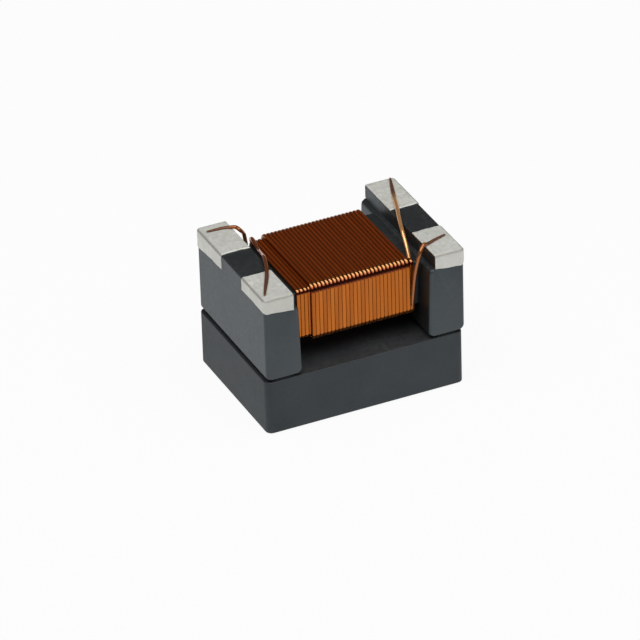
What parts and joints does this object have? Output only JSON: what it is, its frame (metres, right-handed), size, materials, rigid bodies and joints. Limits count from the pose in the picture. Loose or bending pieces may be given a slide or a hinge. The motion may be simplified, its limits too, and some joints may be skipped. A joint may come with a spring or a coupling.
{
  "type": "smd common mode choke",
  "caption": "Surface-mount common mode choke: a wire-wound ferrite drum with silver terminals on its feet, closed by a ferrite plate.",
  "frame": {"origin": "middle of the part's footprint, on the cover plate's flat outer face, which the part rests on", "axes": "+X along the length, +Y to the back, +Z from the plate up to the solder terminals"},
  "size_m": [0.0032, 0.0024, 0.0023],
  "materials": {
    "drum_ferrite": "matte",
    "plate_ferrite": "matte",
    "terminal_silver": "matte",
    "enamelled_copper": "gloss",
    "adhesive": "matte"
  },
  "bodies": {
    "root": {"drum_core": "drum_ferrite", "cover_plate": "plate_ferrite", "glue_left": "adhesive", "glue_right": "adhesive", "terminal_front_left": "terminal_silver", "terminal_back_left": "terminal_silver", "terminal_front_right": "terminal_silver", "terminal_back_right": "terminal_silver", "winding_inner": "enamelled_copper", "winding_outer": "enamelled_copper"}
  },
  "joints": []
}
